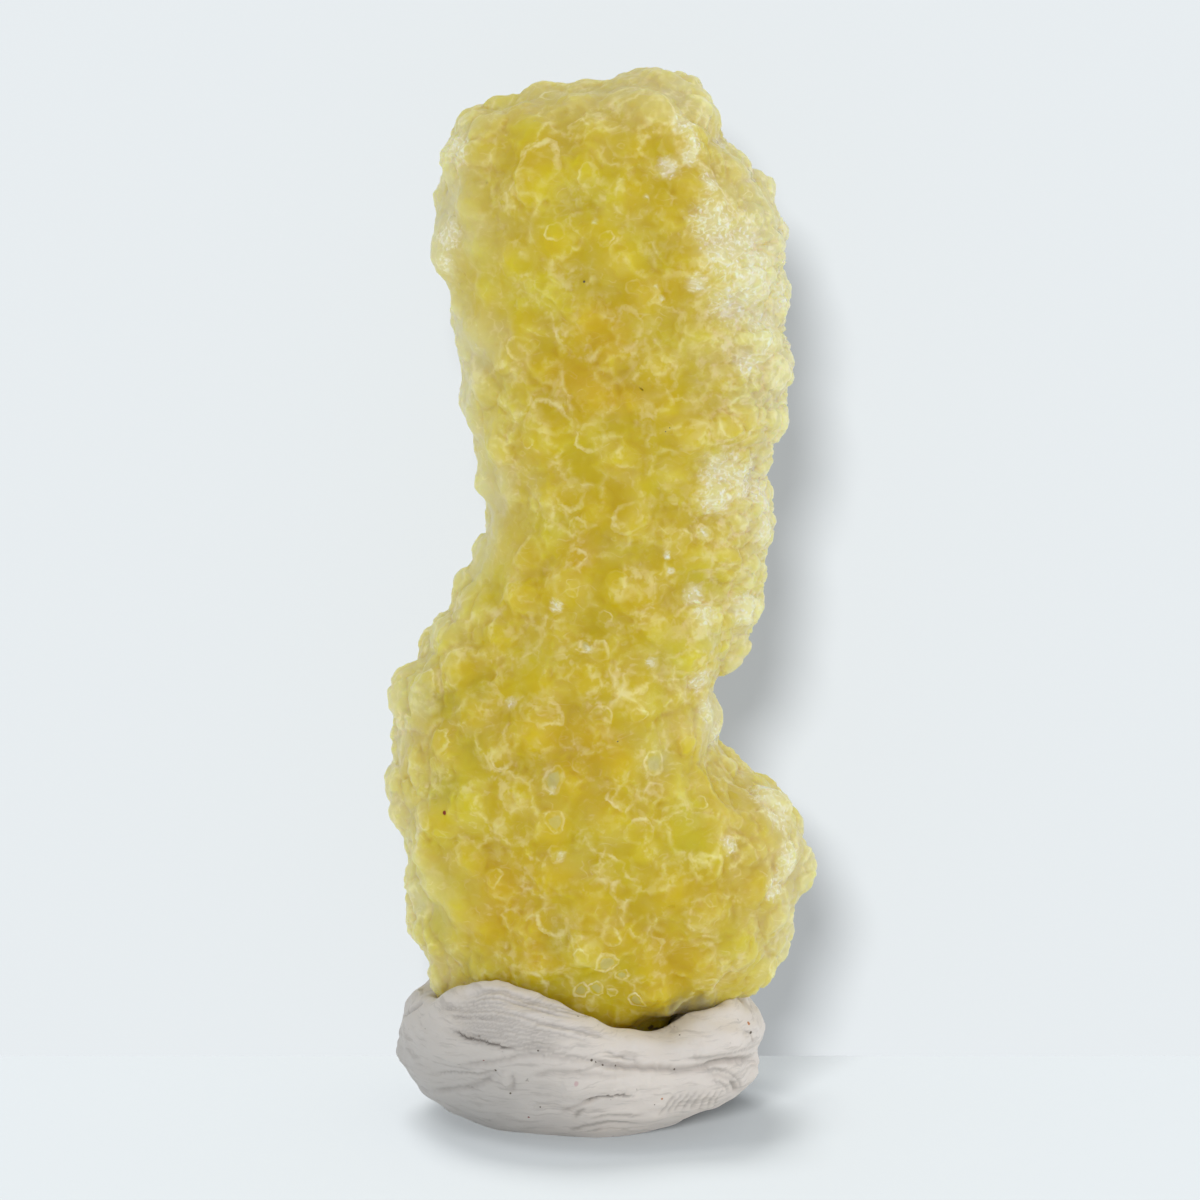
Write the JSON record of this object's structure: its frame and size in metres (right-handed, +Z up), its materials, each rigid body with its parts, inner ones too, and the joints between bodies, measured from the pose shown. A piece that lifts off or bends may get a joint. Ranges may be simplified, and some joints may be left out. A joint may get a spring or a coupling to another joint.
{
  "type": "brucite mineral specimen",
  "caption": "Upright finger of yellow botryoidal brucite with fused rounded crystal tips, held in a pressed lump of white mounting putty with a flat foot.",
  "frame": {"origin": "on the putty's flat foot, below the middle of the specimen's width", "axes": "+Z up along the finger, -Y towards the side seen in front, +X to the right seen from the front"},
  "size_m": [0.0293, 0.0218, 0.071],
  "materials": {
    "brucite": "translucent lemon to golden yellow mineral, waxy to pearly, with pale rims on the crystal tips",
    "putty": "warm white mounting putty, matte, with stretch marks and a few dark specks"
  },
  "bodies": {
    "root": {"brucite": "brucite", "putty": "putty"}
  },
  "joints": []
}
